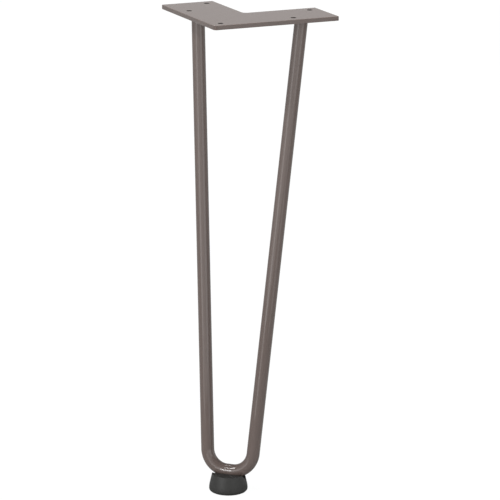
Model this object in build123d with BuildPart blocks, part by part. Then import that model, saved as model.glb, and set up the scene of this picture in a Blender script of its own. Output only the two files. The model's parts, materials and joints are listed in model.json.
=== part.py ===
from build123d import *
import os
from math import hypot, sqrt

# Hairpin table leg: an L-shaped steel plate that is screwed under a tabletop, one round bar bent into a
# narrow hairpin and welded under the plate, and a moulded foot that the bend sits in.
# The origin is on the plate's top face, midway between the two ends of the bar. +X runs across the hairpin,
# +Y from the plate's outer corner into the table, +Z up to the tabletop.

# Whole leg
leg_height = 435.0              # from the floor to the plate's top face
splay = 51.0                    # how far the bend stands out from under the bar's ends, towards the corner

# Mounting plate, cut from flat steel
arm_length = 120.0              # along each outer edge of the L
arm_width = 50.0
plate_thickness = 4.0
outer_corner_radius = 3.0
inner_corner_radius = 4.0
end_corner_radius = 1.0
plate_edge_break = 0.4          # on the cut edges
screw_hole_diameter = 5.0
screw_hole_inset = 10.0         # from a hole's centre to the plate's edges

# Hairpin bar
bar_diameter = 12.0
bend_radius = 19.5              # on the bar's axis
toe_width = 42.0                # between the axes of the two legs, at the level of the bend's bottom

# Fillet welds round the bar's ends
weld_leg = 3.5
weld_crown = 0.4                # how far the bead's middle stands proud of a straight fillet

# Moulded foot
foot_base_diameter = 35.2
foot_top_diameter = 29.8
foot_sole_diameter = 26.4       # flat on the floor, inside the rounded edge
foot_height = 17.0
foot_sole_rise = 3.0            # height of the rounded edge
foot_band_height = 5.5          # top of the upright band, below the taper
foot_band_blend_radius = 5.0
foot_top_edge_break = 0.6
foot_offset = 3.0               # how far the foot stands out from under the bar, towards the corner
foot_web = 12.4                 # plastic between the floor and the bar
groove_clearance = 0.1
groove_lip_radius = 2.5         # on the groove's two edges along the bar

# Screw that holds the foot to the bar, from below
screw_diameter = 5.0
screw_length = 12.0
screw_head_diameter = 9.5
screw_head_height = 3.7
screw_head_edge_break = 1.0
screw_head_recess = 6.0         # depth of the head's seat above the floor
screw_head_clearance = 0.75
screw_shank_clearance = 0.25
thread_clearance = 0.05
thread_end_clearance = 1.0      # between the screw's tip and the end of its hole
cross_recess_span = 4.6
cross_recess_width = 1.1
cross_recess_depth = 2.2

# Places worked out from those sizes
bar_radius = bar_diameter / 2
plate_underside = -plate_thickness
floor = -leg_height
seat_along = arm_length - arm_width / 2             # centre of the bar's end, along its arm
seat_across = arm_width / 2                         # and across it
corner_to_origin = (seat_along + seat_across) / sqrt(2)
half_spacing = (seat_along - seat_across) / sqrt(2)
bend_axis_height = foot_web + groove_clearance + bar_radius
rise = leg_height - plate_thickness - bend_axis_height
slant = hypot(splay, rise)
leg_slope = (half_spacing - toe_width / 2) / slant  # how fast the two legs close in towards the bend

os.makedirs("parts", exist_ok=True)

# Mounting plate, drawn along its two arms from the outer corner
plate_plane = Plane((0, -corner_to_origin, plate_underside), x_dir=(1, 1, 0), z_dir=(0, 0, 1))
seat_to_hole = arm_width / 2 - screw_hole_inset
near_hole = (seat_along - seat_to_hole, seat_across - seat_to_hole)
far_hole = (seat_along + seat_to_hole, seat_across + seat_to_hole)
arm_holes = [near_hole, far_hole]
corner_hole = (screw_hole_inset, screw_hole_inset)
screw_holes = [corner_hole] + arm_holes + [(across, along) for along, across in arm_holes]
end_corners = [(arm_length, 0), (arm_length, arm_width), (0, arm_length), (arm_width, arm_length)]

with BuildPart() as mounting_plate:
    with BuildSketch(plate_plane) as plate_outline:
        Rectangle(arm_length, arm_width, align=(Align.MIN, Align.MIN))
        Rectangle(arm_width, arm_length, align=(Align.MIN, Align.MIN))
        fillet(plate_outline.vertices().sort_by_distance((0, 0))[0], outer_corner_radius)
        fillet(plate_outline.vertices().sort_by_distance((arm_width, arm_width))[0], inner_corner_radius)
        for corner in end_corners:
            fillet(plate_outline.vertices().sort_by_distance(corner)[0], end_corner_radius)
        with Locations(*screw_holes):
            Circle(screw_hole_diameter / 2, mode=Mode.SUBTRACT)
    extrude(amount=plate_thickness)
    plate_faces = mounting_plate.faces().filter_by(Axis.Z).sort_by(Axis.Z)
    chamfer(plate_faces[-1].outer_wire().edges() + plate_faces[0].outer_wire().edges(), plate_edge_break)

mounting_plate.part.label = "mounting_plate"
export_step(mounting_plate.part, "parts/mounting_plate.step")

# Hairpin bar: two straight legs and a round-cornered toe, all in one leaning plane. The bar is drawn
# past the plate's underside, and its ends are then cut flush with it.
hairpin_plane = Plane((0, 0, plate_underside), x_dir=(1, 0, 0), z_dir=(0, -rise, splay))
end_allowance = bar_diameter
end_half_spacing = half_spacing + leg_slope * end_allowance
bar_underside = floor + bend_axis_height - bar_radius
tapped_depth = floor + screw_head_recess + screw_length + thread_end_clearance - bar_underside

with BuildPart() as hairpin_bar:
    with BuildLine(hairpin_plane) as bar_axis:
        FilletPolyline(
            (end_half_spacing, end_allowance),
            (toe_width / 2, -slant),
            (-toe_width / 2, -slant),
            (-end_half_spacing, end_allowance),
            radius=bend_radius,
        )
    with BuildSketch(Plane(bar_axis.line @ 0, z_dir=bar_axis.line % 0)):
        Circle(bar_radius)
    sweep()
    split(bisect_by=Plane.XY.offset(plate_underside), keep=Keep.BOTTOM)
    with BuildSketch(Plane((0, -splay, bar_underside))):
        Circle(screw_diameter / 2 + thread_clearance)
    extrude(amount=tapped_depth, mode=Mode.SUBTRACT)

hairpin_bar.part.label = "hairpin_bar"
export_step(hairpin_bar.part, "parts/hairpin_bar.step")

# Weld beads: a fillet turned about each leg's own axis and cut off at the plate
for side, name in ((1, "weld_bead_right"), (-1, "weld_bead_left")):
    seat = Vector(side * half_spacing, 0, plate_underside)
    leg_direction = hairpin_plane.from_local_coords(Vector(side * leg_slope, 1, 0)) - hairpin_plane.origin
    leg_plane = Plane(seat, x_dir=leg_direction.cross(hairpin_plane.z_dir), z_dir=hairpin_plane.z_dir)
    toe_on_bar = (bar_radius, -weld_leg)
    crown = (bar_radius + weld_leg / 2 + weld_crown, -weld_leg / 2 - weld_crown)
    toe_past_plate = (bar_radius + 2 * weld_leg + weld_crown, weld_leg)
    with BuildPart() as weld_bead:
        with BuildSketch(leg_plane):
            with BuildLine():
                Polyline(toe_on_bar, crown, toe_past_plate, (bar_radius, weld_leg), close=True)
            make_face()
        revolve(axis=Axis(seat, leg_direction))
        split(bisect_by=Plane.XY.offset(plate_underside), keep=Keep.BOTTOM)
    weld_bead.part.label = name
    export_step(weld_bead.part, f"parts/{name}.step")

# Foot: a turned outline, a groove across the top for the bend, and a recessed screw hole from below.
# The rounded edge round the sole is two short cones.
foot_centre = (0, -splay - foot_offset, floor)
foot_plane = Plane(foot_centre, x_dir=(1, 0, 0), z_dir=(0, -1, 0))
groove_plane = Plane((0, -splay, floor + bend_axis_height), x_dir=(0, 1, 0), z_dir=(1, 0, 0))
groove_radius = bar_radius + groove_clearance
sole_edge = (foot_sole_diameter / 2, 0)
edge_width = (foot_base_diameter - foot_sole_diameter) / 2
edge_middle = (foot_sole_diameter / 2 + 0.7 * edge_width, 0.3 * foot_sole_rise)
band_foot = (foot_base_diameter / 2, foot_sole_rise)
band_corner = (foot_base_diameter / 2, foot_band_height)
top_corner = (foot_top_diameter / 2, foot_height)

with BuildPart() as foot:
    with BuildSketch(foot_plane) as foot_outline:
        with BuildLine():
            Polyline(
                (0, 0),
                sole_edge,
                edge_middle,
                band_foot,
                band_corner,
                top_corner,
                (0, foot_height),
                close=True,
            )
        make_face()
        fillet(foot_outline.vertices().sort_by_distance(band_corner)[0], foot_band_blend_radius)
        chamfer(foot_outline.vertices().sort_by_distance(top_corner)[0], foot_top_edge_break)
    revolve(axis=Axis(foot_centre, (0, 0, 1)))
    with BuildSketch(groove_plane):
        Circle(groove_radius)
        Rectangle(2 * groove_radius, foot_height, align=(Align.CENTER, Align.MIN))
    extrude(amount=foot_base_diameter, both=True, mode=Mode.SUBTRACT)
    groove_lips = foot.edges().filter_by(Axis.X).group_by(Axis.Z)[-1]
    fillet(groove_lips, groove_lip_radius)
    with Locations(Plane((0, -splay, floor), z_dir=(0, 0, -1))):
        CounterBoreHole(
            radius=screw_diameter / 2 + screw_shank_clearance,
            counter_bore_radius=screw_head_diameter / 2 + screw_head_clearance,
            counter_bore_depth=screw_head_recess,
        )

foot.part.label = "foot"
export_step(foot.part, "parts/foot.step")

# Foot screw: a pan head with a cross recess, seated in the foot, and a plain shank up into the bar
screw_seat = floor + screw_head_recess
screw_plane = Plane((0, -splay, screw_seat), x_dir=(1, 0, 0), z_dir=(0, -1, 0))
head_rim = (screw_head_diameter / 2, -screw_head_height)

with BuildPart() as foot_screw:
    with BuildSketch(screw_plane) as screw_outline:
        with BuildLine():
            Polyline(
                (0, -screw_head_height),
                head_rim,
                (screw_head_diameter / 2, 0),
                (screw_diameter / 2, 0),
                (screw_diameter / 2, screw_length),
                (0, screw_length),
                close=True,
            )
        make_face()
        chamfer(screw_outline.vertices().sort_by_distance(head_rim)[0], screw_head_edge_break)
    revolve(axis=Axis((0, -splay, screw_seat), (0, 0, 1)))
    with BuildSketch(Plane((0, -splay, screw_seat - screw_head_height))):
        Rectangle(cross_recess_span, cross_recess_width)
        Rectangle(cross_recess_width, cross_recess_span)
    extrude(amount=cross_recess_depth, mode=Mode.SUBTRACT)

foot_screw.part.label = "foot_screw"
export_step(foot_screw.part, "parts/foot_screw.step")
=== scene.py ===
import json
from math import atan2, cos, hypot, radians, sin, sqrt, tan
from random import Random

import bmesh
import bpy
from mathutils import Matrix, Vector


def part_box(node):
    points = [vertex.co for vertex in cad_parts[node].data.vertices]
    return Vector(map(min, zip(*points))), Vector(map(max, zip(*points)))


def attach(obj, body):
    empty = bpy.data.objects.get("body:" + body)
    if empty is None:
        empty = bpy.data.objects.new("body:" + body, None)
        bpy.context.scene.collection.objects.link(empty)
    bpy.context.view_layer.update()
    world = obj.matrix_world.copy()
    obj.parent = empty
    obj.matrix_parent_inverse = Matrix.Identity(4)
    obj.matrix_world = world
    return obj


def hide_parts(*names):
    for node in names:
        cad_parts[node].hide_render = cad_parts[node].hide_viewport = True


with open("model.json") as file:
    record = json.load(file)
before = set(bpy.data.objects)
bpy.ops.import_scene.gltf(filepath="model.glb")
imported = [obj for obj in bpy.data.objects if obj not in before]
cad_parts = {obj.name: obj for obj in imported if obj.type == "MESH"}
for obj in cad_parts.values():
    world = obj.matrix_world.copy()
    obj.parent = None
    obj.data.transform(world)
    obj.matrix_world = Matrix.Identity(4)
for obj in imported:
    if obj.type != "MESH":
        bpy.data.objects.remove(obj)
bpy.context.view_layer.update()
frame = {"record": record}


# Mounting plate: a flat L of 4 mm steel, laser cut with five screw holes and powder coated in taupe,
# which rounds its cut edges; the walls of the holes get a dark painted shade. The tabletop lies on its
# upper face, and the bar is welded under its arms.
plate_low, plate_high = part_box("mounting_plate")
plate_thickness = plate_high.z - plate_low.z
arm_length = 0.120
arm_width = 0.050
outer_corner_radius = 0.003
inner_corner_radius = 0.004
corner_steps = 8
end_corner_radius = 0.001
end_corner_steps = 5
plate_edge_radius = 0.0004
screw_hole_radius = 0.0025
screw_hole_inset = 0.010
hole_sides = 48
outer_corner = Vector((0, -arm_length / sqrt(2), 0))
nearness = 0.0001
merge_distance = 1e-6


def choose(*pieces):
    """Selects only these pieces, with the first of them active."""
    bpy.ops.object.select_all(action="DESELECT")
    for piece in pieces:
        piece.select_set(True)
    bpy.context.view_layer.objects.active = pieces[0]


def pick(piece, kind, test):
    """In edit mode, selects only the verts, edges or faces of a piece that pass a test."""
    bpy.ops.mesh.select_mode(type=kind[:-1].upper())
    bpy.ops.mesh.select_all(action="DESELECT")
    mesh = bmesh.from_edit_mesh(piece.data)
    for element in getattr(mesh, kind):
        element.select_set(test(element))
    bmesh.update_edit_mesh(piece.data)


def extrude(way):
    """In edit mode, extrudes what is selected along a vector."""
    bpy.ops.mesh.extrude_region_move(TRANSFORM_OT_translate={"value": way})


def middle(edge):
    """The midpoint of an edge."""
    return (edge.verts[0].co + edge.verts[1].co) / 2


def upright(edge):
    """Whether an edge runs along Z."""
    along = edge.verts[1].co - edge.verts[0].co
    return along.xy.length < nearness


def near(point, x, y):
    """Whether a point lies on the upright line through x and y."""
    return (point.xy - Vector((x, y))).length < nearness


def apply_modifier(piece, kind, **settings):
    """Adds a modifier to a piece, sets it up and applies it."""
    modifier = piece.modifiers.new(kind.title(), kind)
    for name, value in settings.items():
        setattr(modifier, name, value)
    bpy.context.view_layer.objects.active = piece
    bpy.ops.object.modifier_apply(modifier=modifier.name)


def cut_away(piece, cutter):
    """Takes a cutter's volume out of a piece and removes the cutter."""
    apply_modifier(piece, "BOOLEAN", operation="DIFFERENCE", object=cutter, solver="EXACT")
    bpy.data.objects.remove(cutter)


def join(pieces):
    """Joins several pieces into the first of them."""
    choose(*pieces)
    bpy.ops.object.join()
    return pieces[0]


def settle(piece, place=Matrix.Identity(4)):
    """Moves a piece's mesh to its place, merges its doubles and turns its faces outwards."""
    choose(piece)
    piece.matrix_world = place @ piece.matrix_world
    bpy.ops.object.transform_apply(location=True, rotation=True, scale=True)
    bpy.ops.object.mode_set(mode="EDIT")
    bpy.ops.mesh.select_all(action="SELECT")
    bpy.ops.mesh.remove_doubles(threshold=merge_distance)
    bpy.ops.mesh.normals_make_consistent(inside=False)
    bpy.ops.object.mode_set(mode="OBJECT")


def round_edges(piece, radius, steps, sharp_angle):
    """Rounds the edges of a piece that are sharper than an angle in degrees."""
    limit = radians(sharp_angle)
    apply_modifier(piece, "BEVEL", width=radius, segments=steps, limit_method="ANGLE", angle_limit=limit)
    settle(piece)


def smooth(piece, sharp_angle):
    """Shades a piece smooth, with edges sharper than an angle in degrees left crisp."""
    choose(piece)
    bpy.ops.object.shade_smooth_by_angle(angle=radians(sharp_angle))


bpy.ops.object.select_all(action="DESELECT")
bpy.ops.mesh.primitive_plane_add(size=arm_width, location=(arm_width / 2, arm_width / 2, plate_low.z))
plate = bpy.context.active_object
plate.name = "painted_plate"
bpy.ops.object.transform_apply(location=True)
bpy.ops.object.mode_set(mode="EDIT")
arm_reach = arm_length - arm_width
pick(plate, "edges", lambda edge: abs(middle(edge).x - arm_width) < nearness)
extrude((arm_reach, 0, 0))
pick(plate, "edges", lambda edge: near(middle(edge), arm_width / 2, arm_width))
extrude((0, arm_reach, 0))
bpy.ops.mesh.select_all(action="SELECT")
bpy.ops.mesh.dissolve_limited(angle_limit=radians(1))
bpy.ops.mesh.select_all(action="SELECT")
extrude((0, 0, plate_thickness))
rounded_corners = [((0, 0), outer_corner_radius, corner_steps)]
rounded_corners.append(((arm_width, arm_width), inner_corner_radius, corner_steps))
for corner in [(arm_length, 0), (arm_length, arm_width), (0, arm_length), (arm_width, arm_length)]:
    rounded_corners.append((corner, end_corner_radius, end_corner_steps))
for (x, y), radius, steps in rounded_corners:
    pick(plate, "edges", lambda edge: upright(edge) and near(middle(edge), x, y))
    bpy.ops.mesh.bevel(offset=radius, segments=steps, affect="EDGES")
bpy.ops.object.mode_set(mode="OBJECT")
settle(plate)
round_edges(plate, plate_edge_radius, steps=3, sharp_angle=50)

near_hole = arm_reach + screw_hole_inset
far_hole = arm_length - screw_hole_inset
across_hole = arm_width - screw_hole_inset
screw_holes = [(screw_hole_inset, screw_hole_inset), (near_hole, screw_hole_inset), (far_hole, across_hole)]
screw_holes += [(screw_hole_inset, near_hole), (across_hole, far_hole)]
drills = []
for x, y in screw_holes:
    bpy.ops.mesh.primitive_cylinder_add(
        vertices=hole_sides,
        radius=screw_hole_radius,
        depth=3 * plate_thickness,
        location=(x, y, plate_low.z),
    )
    drills.append(bpy.context.active_object)
cut_away(plate, join(drills))
settle(plate)
plate_place = Matrix.Translation(outer_corner) @ Matrix.Rotation(radians(45), 4, "Z")
settle(plate, plate_place)
smooth(plate, sharp_angle=35)
apply_modifier(plate, "WEIGHTED_NORMAL", keep_sharp=True)


class Signal:
    """One value that runs through the nodes of a finish. Arithmetic on it adds Math nodes."""

    def __init__(self, socket):
        self.socket = socket

    def node(self, kind, settings=None, sockets=None, output=0):
        """Adds any node: its type, its settings, and the values or links of its sockets."""
        tree = self.socket.id_data
        node = tree.nodes.new(kind)
        for name, value in (settings or {}).items():
            setattr(node, name, value)
        for name, value in (sockets or {}).items():
            if isinstance(value, Signal):
                tree.links.new(value.socket, node.inputs[name])
            else:
                node.inputs[name].default_value = value
        return Signal(node.outputs[output]) if node.outputs else None

    def beside(self, output):
        """Another output of the same node."""
        return Signal(self.socket.node.outputs[output])

    def math(self, operation, first, second):
        """Adds a Math node on two signals or numbers."""
        return self.node("ShaderNodeMath", {"operation": operation}, {0: first, 1: second})

    def __add__(self, other):
        return self.math("ADD", self, other)

    def __radd__(self, other):
        return self.math("ADD", other, self)

    def __sub__(self, other):
        return self.math("SUBTRACT", self, other)

    def __rsub__(self, other):
        return self.math("SUBTRACT", other, self)

    def __mul__(self, other):
        return self.math("MULTIPLY", self, other)

    def __rmul__(self, other):
        return self.math("MULTIPLY", other, self)


def new_finish(name):
    """An empty material, and the place on its piece as the first signal."""
    finish = bpy.data.materials.new(name)
    finish.use_nodes = True
    finish.node_tree.nodes.clear()
    coordinates = finish.node_tree.nodes.new("ShaderNodeTexCoord")
    return finish, Signal(coordinates.outputs["Object"])


def noise(place, size, detail):
    """Noise between 0 and 1 whose features are about one size across, in metres."""
    sockets = {"Vector": place, "Scale": 1 / size, "Detail": detail}
    return place.node("ShaderNodeTexNoise", {"noise_dimensions": "3D"}, sockets, "Fac")


def blend_colours(first, second, share):
    """A colour between two, each a signal or three numbers, by a signal from 0 to 1."""
    first, second = [one if isinstance(one, Signal) else (*one, 1) for one in (first, second)]
    sockets = {"Factor": share, "A": first, "B": second}
    return share.node("ShaderNodeMix", {"data_type": "RGBA"}, sockets, "Result")


def ramp(value, start, end):
    """A smooth share that grows from 0 to 1 as a value goes from a start to an end."""
    sockets = {"Value": value, "From Min": start, "From Max": end}
    return value.node("ShaderNodeMapRange", {"interpolation_type": "SMOOTHSTEP"}, sockets)


taupe = (0.156, 0.121, 0.108)
taupe_warm = (0.162, 0.121, 0.107)
# Painted shade: the walls of the screw holes are coloured this dark taupe.
taupe_hole_shade = (0.045, 0.037, 0.034)
hole_shade_reach = 0.0001
mottle_size = 0.014
orange_peel_size = 0.0016
orange_peel_depth = 0.00002

taupe_paint, place = new_finish("taupe_paint")
mottle = noise(place, mottle_size, detail=3)
full_paint = blend_colours(taupe, taupe_warm, mottle)
level_place = place.node("ShaderNodeVectorMath", {"operation": "MULTIPLY"}, {0: place, 1: (1, 1, 0)})
# A share for each screw hole that paints its wall dark, as painted shade in the hole.
hole_shade_shares = []
for x, y in screw_holes:
    hole_centre = plate_place @ Vector((x, y, 0))
    from_hole = place.node(
        "ShaderNodeVectorMath", {"operation": "DISTANCE"}, {0: level_place, 1: hole_centre}, "Value"
    )
    hole_shade_shares.append(ramp(from_hole, screw_hole_radius + hole_shade_reach, screw_hole_radius))
orange_peel = noise(place, orange_peel_size, detail=2)
bump = place.node(
    "ShaderNodeBump", sockets={"Strength": 0.7, "Distance": orange_peel_depth, "Height": orange_peel}
)
surface = place.node(
    "ShaderNodeBsdfPrincipled",
    sockets={
        "Base Color": blend_colours(full_paint, taupe_hole_shade, sum(hole_shade_shares)),
        "Roughness": 0.38 + 0.06 * mottle,
        "Specular IOR Level": 0.1,
        "Coat Weight": 1.0,
        "Coat Roughness": 0.04,
        "Normal": bump,
    },
)
surface.node("ShaderNodeOutputMaterial", sockets={"Surface": surface})
plate.data.materials.append(taupe_paint)
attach(plate, "root")
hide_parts("mounting_plate")


# Hairpin bar: one length of 12 mm round steel, bent twice round a 13.5 mm former into a narrow hairpin,
# its two ends cut flush to the plate's underside and welded there, then painted with the plate. A tapped
# hole under the bend takes the foot's screw.
bar_low, bar_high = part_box("hairpin_bar")
foot_low, foot_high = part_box("foot")
screw_low, screw_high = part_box("foot_screw")
foot_middle = (foot_low + foot_high) / 2
foot_offset = 0.003
mm_per_metre = 1000
arm_screws = next(mount for mount in frame["record"]["mounts"] if mount["name"] == "arm_screws")
half_spacing = arm_screws["dims"]["spacing_x_mm"] / (2 * mm_per_metre)
bar_radius = 0.006
bend_radius = 0.0195
toe_width = 0.042
tapped_radius = 0.00255
tapped_clearance = 0.001
bar_sides = 96
bend_steps = 48
flat_steps = 5
ring_gap = 0.0015
end_allowance = 0.015
cut_precision = 1e-7

toe = Vector((0, foot_middle.y + foot_offset, bar_low.z + bar_radius))
crown = Vector((0, 0, bar_high.z))
slant = (crown - toe).length
leg_angle = atan2(slant, half_spacing - toe_width / 2)
bend_setback = bend_radius * tan(leg_angle / 2)
flat_half = toe_width / 2 - bend_setback
leg_way = Vector((cos(leg_angle), sin(leg_angle), 0))
other_leg_way = Vector((-leg_way.x, leg_way.y, 0))
leg_length = hypot(slant, half_spacing - toe_width / 2) - bend_setback + end_allowance
bend_start = Vector((toe_width / 2, 0, 0)) + bend_setback * leg_way

bpy.ops.object.select_all(action="DESELECT")
bpy.ops.mesh.primitive_circle_add(
    vertices=bar_sides,
    radius=bar_radius,
    location=bend_start + leg_length * leg_way,
    rotation=leg_way.to_track_quat("Z", "Y").to_euler(),
)
bar = bpy.context.active_object
bar.name = "painted_bar"
bpy.ops.object.transform_apply(location=True, rotation=True)
bpy.ops.object.mode_set(mode="EDIT")
bpy.ops.mesh.select_all(action="SELECT")
for run in (leg_length - ring_gap, ring_gap):
    extrude(-run * leg_way)
bpy.ops.mesh.spin(steps=bend_steps, angle=leg_angle, center=(flat_half, bend_radius, 0), axis=(0, 0, 1))
for step in range(flat_steps):
    extrude((-2 * flat_half / flat_steps, 0, 0))
bpy.ops.mesh.spin(steps=bend_steps, angle=leg_angle, center=(-flat_half, bend_radius, 0), axis=(0, 0, 1))
for run in (ring_gap, leg_length - ring_gap):
    extrude(run * other_leg_way)
bpy.ops.object.mode_set(mode="OBJECT")

lean = Vector((0, crown.y - toe.y, crown.z - toe.z)).normalized()
across = Vector((1, 0, 0))
hairpin_place = Matrix.Translation(toe) @ Matrix((across, lean, across.cross(lean))).transposed().to_4x4()
settle(bar, hairpin_place)


def cut_flush(piece):
    """Cuts off what stands above the plate's underside and closes the cut."""
    choose(piece)
    bpy.ops.object.mode_set(mode="EDIT")
    bpy.ops.mesh.select_all(action="SELECT")
    bpy.ops.mesh.bisect(
        plane_co=crown, plane_no=(0, 0, 1), clear_outer=True, use_fill=True, threshold=cut_precision
    )
    bpy.ops.object.mode_set(mode="OBJECT")


def add_rod(start, way, radius, sides=bar_sides):
    """A round rod from a point, along a vector that gives its length too."""
    bpy.ops.object.select_all(action="DESELECT")
    turned = way.to_track_quat("Z", "Y").to_euler()
    bpy.ops.mesh.primitive_cylinder_add(
        vertices=sides, radius=radius, depth=way.length, location=start + way / 2, rotation=turned
    )
    return bpy.context.active_object


cut_flush(bar)
settle(bar)
tapped_end = Vector((0, toe.y, screw_high.z + tapped_clearance))
tapped_way = Vector((0, 0, bar_low.z - tapped_end.z - tapped_clearance))
cut_away(bar, add_rod(tapped_end, tapped_way, tapped_radius, hole_sides))
settle(bar)
smooth(bar, sharp_angle=50)
bar.data.materials.append(taupe_paint)
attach(bar, "root")
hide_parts("hairpin_bar")


# Welds: one fillet run round each end of the bar, under the plate. Each is a row of overlapping round
# scales, a little uneven and leaning the way the arc was moved, and softened by the same paint.
scale_count = 34
scale_radius = 0.0105
scale_half_length = 0.0034
scale_out = 0.0015
scale_up = 0.0060
scale_lean = radians(24)
turn_scatter = 0.2
lean_scatter = 0.1
smallest_scale = 0.98
largest_scale = 1.015
weld_grain = 0.0003
bar_cut_reach = 0.03
small_face_sides = 12
unevenness = Random(7)

for side, node in ((1, "weld_bead_right"), (-1, "weld_bead_left")):
    seat = Vector((side * half_spacing, 0, crown.z))
    leg_up = (hairpin_place.to_3x3() @ Vector((side * leg_way.x, leg_way.y, 0))).normalized()
    leg_place = Matrix.Translation(seat) @ leg_up.to_track_quat("Z", "Y").to_matrix().to_4x4()
    flat = Matrix.Diagonal((1, scale_half_length / scale_radius, 1, 1))
    scales = []
    for step in range(scale_count):
        round_bar = (step + unevenness.uniform(-turn_scatter, turn_scatter)) * 360 / scale_count
        turn = Matrix.Rotation(radians(round_bar), 4, "Z")
        lean_over = Matrix.Rotation(scale_lean + unevenness.uniform(-lean_scatter, lean_scatter), 4, "X")
        radius = scale_radius * unevenness.uniform(smallest_scale, largest_scale)
        bpy.ops.object.select_all(action="DESELECT")
        bpy.ops.mesh.primitive_uv_sphere_add(segments=48, ring_count=24, radius=radius)
        scale = bpy.context.active_object
        scale.matrix_world = turn @ Matrix.Translation((scale_out, 0, scale_up)) @ lean_over @ flat
        scales.append(scale)
    weld = join(scales)
    weld.name = "painted_" + node
    settle(weld, leg_place)
    apply_modifier(weld, "REMESH", mode="VOXEL", voxel_size=weld_grain)
    apply_modifier(weld, "SMOOTH", factor=0.5, iterations=4)
    settle(weld)
    cut_flush(weld)
    cut_away(weld, add_rod(seat - bar_cut_reach * leg_up, 2 * bar_cut_reach * leg_up, bar_radius))
    settle(weld)
    # Small faces are split from their middles, so that no two of them share a diagonal as triangles.
    bpy.ops.object.mode_set(mode="EDIT")
    pick(weld, "faces", lambda face: 3 < len(face.verts) <= small_face_sides)
    bpy.ops.mesh.poke()
    bpy.ops.mesh.select_all(action="SELECT")
    bpy.ops.mesh.quads_convert_to_tris(quad_method="BEAUTY", ngon_method="BEAUTY")
    bpy.ops.object.mode_set(mode="OBJECT")
    smooth(weld, sharp_angle=50)
    weld.data.materials.append(taupe_paint)
    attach(weld, "root")
    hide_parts(node)


# Foot: a moulded charcoal plastic foot with a rounded edge round its sole, a groove across its top that
# the bend sits in and a recessed hole underneath for its screw. Its surface has a fine spark-eroded grain.
foot_sides = 128
foot_height = foot_high.z - foot_low.z
foot_base_radius = (foot_high.x - foot_low.x) / 2
foot_top_radius = 0.0149
foot_top_edge_radius = 0.0005
foot_sole_radius = 0.0132
foot_sole_rise = 0.003
sole_edge_steps = 6
foot_band_height = 0.0055
foot_band_blend = 0.0022
groove_clearance = 0.0001
groove_radius = bar_radius + groove_clearance
groove_lip_radius = 0.0025
head_recess_radius = 0.0055
head_recess_depth = 0.006
shank_hole_radius = 0.00275
cut_start = 0.001
foot_cut_edge_radius = 0.0005
foot_sole = Vector((0, foot_middle.y, foot_low.z))

foot_rings = []
for step in range(1, sole_edge_steps + 1):
    turn = step * radians(90 / sole_edge_steps)
    spread = foot_sole_radius + (foot_base_radius - foot_sole_radius) * sin(turn)
    foot_rings.append((spread, foot_sole_rise * (1 - cos(turn))))
foot_rings.append((foot_base_radius, foot_band_height))
foot_rings.append((foot_top_radius, foot_height))

bpy.ops.object.select_all(action="DESELECT")
bpy.ops.mesh.primitive_circle_add(
    vertices=foot_sides, radius=foot_sole_radius, fill_type="NGON", location=foot_sole
)
foot = bpy.context.active_object
foot.name = "moulded_foot"
bpy.ops.object.transform_apply(location=True)
bpy.ops.object.mode_set(mode="EDIT")
bpy.ops.mesh.select_all(action="SELECT")
ring_radius, ring_height = foot_sole_radius, 0
for radius, height in foot_rings:
    extrude((0, 0, height - ring_height))
    growth = radius / ring_radius
    bpy.ops.transform.resize(value=(growth, growth, 1), center_override=foot_sole)
    ring_radius, ring_height = radius, height


def on_ring(edge, height):
    """Whether an edge of the foot lies at a height above the floor."""
    return all(abs(vert.co.z - foot_low.z - height) < nearness for vert in edge.verts)


pick(foot, "edges", lambda edge: on_ring(edge, foot_band_height))
bpy.ops.mesh.bevel(offset=foot_band_blend, segments=6, affect="EDGES")
pick(foot, "edges", lambda edge: on_ring(edge, foot_height))
bpy.ops.mesh.bevel(offset=foot_top_edge_radius, segments=4, affect="EDGES")
bpy.ops.object.mode_set(mode="OBJECT")
settle(foot)

groove_length = 3 * foot_base_radius
groove_way = Vector((groove_length, 0, 0))
groove_start = toe - groove_way / 2
lip_drop = toe.z - foot_high.z + groove_lip_radius
lip_reach = sqrt((groove_radius + groove_lip_radius) ** 2 - lip_drop ** 2)
lip_base = toe.z - lip_drop * groove_radius / (groove_radius + groove_lip_radius)
bpy.ops.object.select_all(action="DESELECT")
bpy.ops.mesh.primitive_cube_add(
    size=1, location=(0, toe.y, lip_base + lip_reach / 2), scale=(groove_length, 2 * lip_reach, lip_reach)
)
groove_mouth = bpy.context.active_object
for side in (-1, 1):
    lip_start = groove_start + Vector((0, side * lip_reach, -lip_drop))
    cut_away(groove_mouth, add_rod(lip_start, groove_way, groove_lip_radius))
cut_away(foot, add_rod(groove_start, groove_way, groove_radius))
cut_away(foot, groove_mouth)
screw_hole = Vector((0, toe.y, foot_low.z - cut_start))
cut_away(foot, add_rod(screw_hole, Vector((0, 0, cut_start + head_recess_depth)), head_recess_radius))
cut_away(foot, add_rod(screw_hole, Vector((0, 0, foot_height)), shank_hole_radius, hole_sides))
settle(foot)
round_edges(foot, foot_cut_edge_radius, steps=3, sharp_angle=40)
smooth(foot, sharp_angle=40)

charcoal = (0.031, 0.031, 0.029)
grain_size = 0.0006
grain_depth = 0.00004
charcoal_plastic, place = new_finish("charcoal_plastic")
grain = noise(place, grain_size, detail=3)
bump = place.node("ShaderNodeBump", sockets={"Strength": 0.3, "Distance": grain_depth, "Height": grain})
surface = place.node(
    "ShaderNodeBsdfPrincipled",
    sockets={"Base Color": (*charcoal, 1), "Roughness": 0.46 + 0.08 * grain, "Normal": bump},
)
surface.node("ShaderNodeOutputMaterial", sockets={"Surface": surface})
foot.data.materials.append(charcoal_plastic)
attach(foot, "root")
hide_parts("foot")


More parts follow.
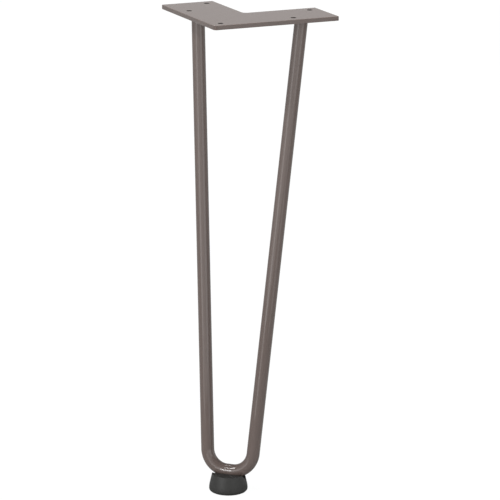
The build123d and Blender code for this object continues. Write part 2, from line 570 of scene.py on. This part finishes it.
# Foot screw: a zinc-plated pan-head screw with a cross recess. It is driven from below, up through the
# foot into the bar's tapped hole, and its head sits in the recess of the sole.
screw_head_radius = (screw_high.x - screw_low.x) / 2
screw_head_height = 0.0037
screw_head_round = 0.0017
screw_radius = 0.0025
screw_tip_bevel = 0.0005
recess_span = 0.0046
recess_width = 0.0011
recess_depth = 0.0022
recess_taper = 0.7
screw_edge_radius = 0.0001
least_rise = 0.9
head_bottom = Vector((0, toe.y, screw_low.z))
head_seat = head_bottom + Vector((0, 0, screw_head_height))


def faces_up(face):
    """Whether a face looks upwards."""
    return face.normal.z > least_rise


screw = add_rod(head_bottom, head_seat - head_bottom, screw_head_radius)
screw.name = "plated_screw"
settle(screw)
bpy.ops.object.mode_set(mode="EDIT")
pick(screw, "faces", faces_up)
bpy.ops.mesh.inset(thickness=screw_head_radius - screw_radius)
extrude((0, 0, screw_high.z - head_seat.z))
bpy.ops.mesh.select_mode(type="EDGE")
bpy.ops.mesh.region_to_loop()
bpy.ops.mesh.bevel(offset=screw_tip_bevel, segments=3, affect="EDGES")
pick(screw, "edges", lambda edge: all(vert.co.z < head_bottom.z + nearness for vert in edge.verts))
bpy.ops.mesh.bevel(offset=screw_head_round, segments=10, affect="EDGES")
bpy.ops.object.mode_set(mode="OBJECT")
for span, width in ((recess_span, recess_width), (recess_width, recess_span)):
    bpy.ops.object.select_all(action="DESELECT")
    bpy.ops.mesh.primitive_cube_add(size=1, location=head_bottom, scale=(span, width, 2 * recess_depth))
    recess_arm = bpy.context.active_object
    bpy.ops.object.transform_apply(location=True, scale=True)
    bpy.ops.object.mode_set(mode="EDIT")
    pick(recess_arm, "faces", faces_up)
    bpy.ops.transform.resize(value=(recess_taper, recess_taper, 1), center_override=head_bottom)
    bpy.ops.object.mode_set(mode="OBJECT")
    cut_away(screw, recess_arm)
settle(screw)
round_edges(screw, screw_edge_radius, steps=2, sharp_angle=40)
smooth(screw, sharp_angle=40)

zinc = (0.62, 0.61, 0.58)
zinc_dull = (0.50, 0.50, 0.49)
zinc_patch_size = 0.002
plated_steel, place = new_finish("plated_steel")
patches = noise(place, zinc_patch_size, detail=3)
surface = place.node(
    "ShaderNodeBsdfPrincipled",
    sockets={
        "Base Color": blend_colours(zinc, zinc_dull, patches),
        "Metallic": 1.0,
        "Roughness": 0.28 + 0.2 * patches,
    },
)
surface.node("ShaderNodeOutputMaterial", sockets={"Surface": surface})
screw.data.materials.append(plated_steel)
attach(screw, "root")
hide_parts("foot_screw")


# Floor, lights and camera: a pale studio floor that fades into a white backdrop, soft boxes to the left,
# to the right, behind and overhead, two low strips that draw streaks along the legs, and a long lens.
floor_size = 6.0
floor_grey = (0.25, 0.25, 0.25)
floor_white = 1.16
floor_white_share = 0.85
floor_mirrored_share = 0.23
bpy.ops.mesh.primitive_plane_add(size=floor_size, location=(0, 0, foot_low.z))
floor = bpy.context.active_object
floor.name = "studio_floor"
pale_floor, place = new_finish("pale_floor")


def seen_rays(signal, mirrored_share):
    """How far a ray shows the white backdrop: one from the camera in full, one from a gloss in part."""
    camera_ray = signal.node("ShaderNodeLightPath", output="Is Camera Ray")
    glossy_ray = camera_ray.beside("Is Glossy Ray")
    return camera_ray + camera_ray.beside("Is Transmission Ray") + mirrored_share * glossy_ray


lit = place.node("ShaderNodeBsdfDiffuse", sockets={"Color": (*floor_grey, 1)})
white = place.node("ShaderNodeEmission", sockets={"Color": (1, 1, 1, 1), "Strength": floor_white})
white_share = floor_white_share * seen_rays(place, floor_mirrored_share)
surface = place.node("ShaderNodeMixShader", sockets={"Fac": white_share, 1: lit, 2: white})
surface.node("ShaderNodeOutputMaterial", sockets={"Surface": surface})
floor.data.materials.append(pale_floor)

view_azimuth = radians(20.877)
view_elevation = radians(14.496)
view_aim = Vector((0.02878, -0.07403, -0.20056))
view_distance = 2.61356
view_limit = 20
lens_length = 212.82
sensor_width = 36


def direction(azimuth, elevation):
    """The way from the leg towards a camera or lamp, by its angles round and above the leg."""
    level = Vector((sin(azimuth), -cos(azimuth), 0))
    return cos(elevation) * level + sin(elevation) * Vector((0, 0, 1))


ceiling_light = 0.22
wall_light = 0.24
wall_top = sin(radians(45))
wall_full = sin(radians(20))
front_light = 0.74
front_turn = radians(10)
front_full = 0.7
horizon_light = 0.35
horizon_top = sin(radians(12))
horizon_full = sin(radians(4))
room_mirrored_share = 0.05

world = bpy.data.worlds.new("studio")
bpy.context.scene.world = world
world.use_nodes = True
world.node_tree.nodes.clear()
outlook = Signal(world.node_tree.nodes.new("ShaderNodeTexCoord").outputs["Generated"])
rise = outlook.node("ShaderNodeSeparateXYZ", sockets={"Vector": outlook}, output="Z")
front = direction(view_azimuth - front_turn, 0)
facing = outlook.node("ShaderNodeVectorMath", {"operation": "DOT_PRODUCT"}, {0: outlook, 1: front}, "Value")
wall = ramp(rise, wall_top, wall_full)
horizon = ramp(rise, horizon_top, horizon_full)
front_wall = wall * ramp(facing, 0, front_full)
room_light = ceiling_light + wall_light * wall + front_light * front_wall + horizon_light * horizon
seen = seen_rays(outlook, room_mirrored_share)
background = outlook.node("ShaderNodeBackground", sockets={"Strength": seen + (1 - seen) * room_light})
background.node("ShaderNodeOutputWorld", sockets={"Surface": background})


def add_soft_box(name, azimuth, elevation, distance, size, watts):
    """A rectangular lamp that faces the leg. Its azimuth is in degrees to the right of the camera."""
    way = direction(view_azimuth + radians(azimuth), radians(elevation))
    bpy.ops.object.light_add(type="AREA", location=view_aim + distance * way)
    lamp = bpy.context.active_object
    lamp.name = name
    lamp.rotation_euler = way.to_track_quat("Z", "Y").to_euler()
    lamp.data.shape = "RECTANGLE"
    lamp.data.size, lamp.data.size_y = size
    lamp.data.energy = watts


add_soft_box("low_soft_box", azimuth=-40.5, elevation=10.5, distance=5.0, size=(0.44, 0.7), watts=19)
add_soft_box("high_soft_box", azimuth=-68, elevation=47.5, distance=5.0, size=(2.0, 0.6), watts=70)
add_soft_box("rear_soft_box", azimuth=-155, elevation=61, distance=5.0, size=(0.25, 0.4), watts=3.5)
add_soft_box("top_soft_box", azimuth=180, elevation=88, distance=5.0, size=(0.4, 0.4), watts=250)
add_soft_box("right_soft_box", azimuth=95, elevation=22, distance=4.0, size=(4.0, 2.6), watts=21)
add_soft_box("left_strip", azimuth=-44.5, elevation=2.5, distance=0.8, size=(0.3, 0.53), watts=0.65)
add_soft_box("right_strip", azimuth=42, elevation=2.5, distance=0.8, size=(0.4, 0.53), watts=0.45)

back = direction(view_azimuth, view_elevation)
bpy.ops.object.camera_add(location=view_aim + view_distance * back)
camera = bpy.context.active_object
camera.rotation_euler = back.to_track_quat("Z", "Y").to_euler()
camera.data.lens = lens_length
camera.data.sensor_width = sensor_width
camera.data.clip_end = view_limit
bpy.context.scene.camera = camera
bpy.context.scene.view_settings.view_transform = "Standard"
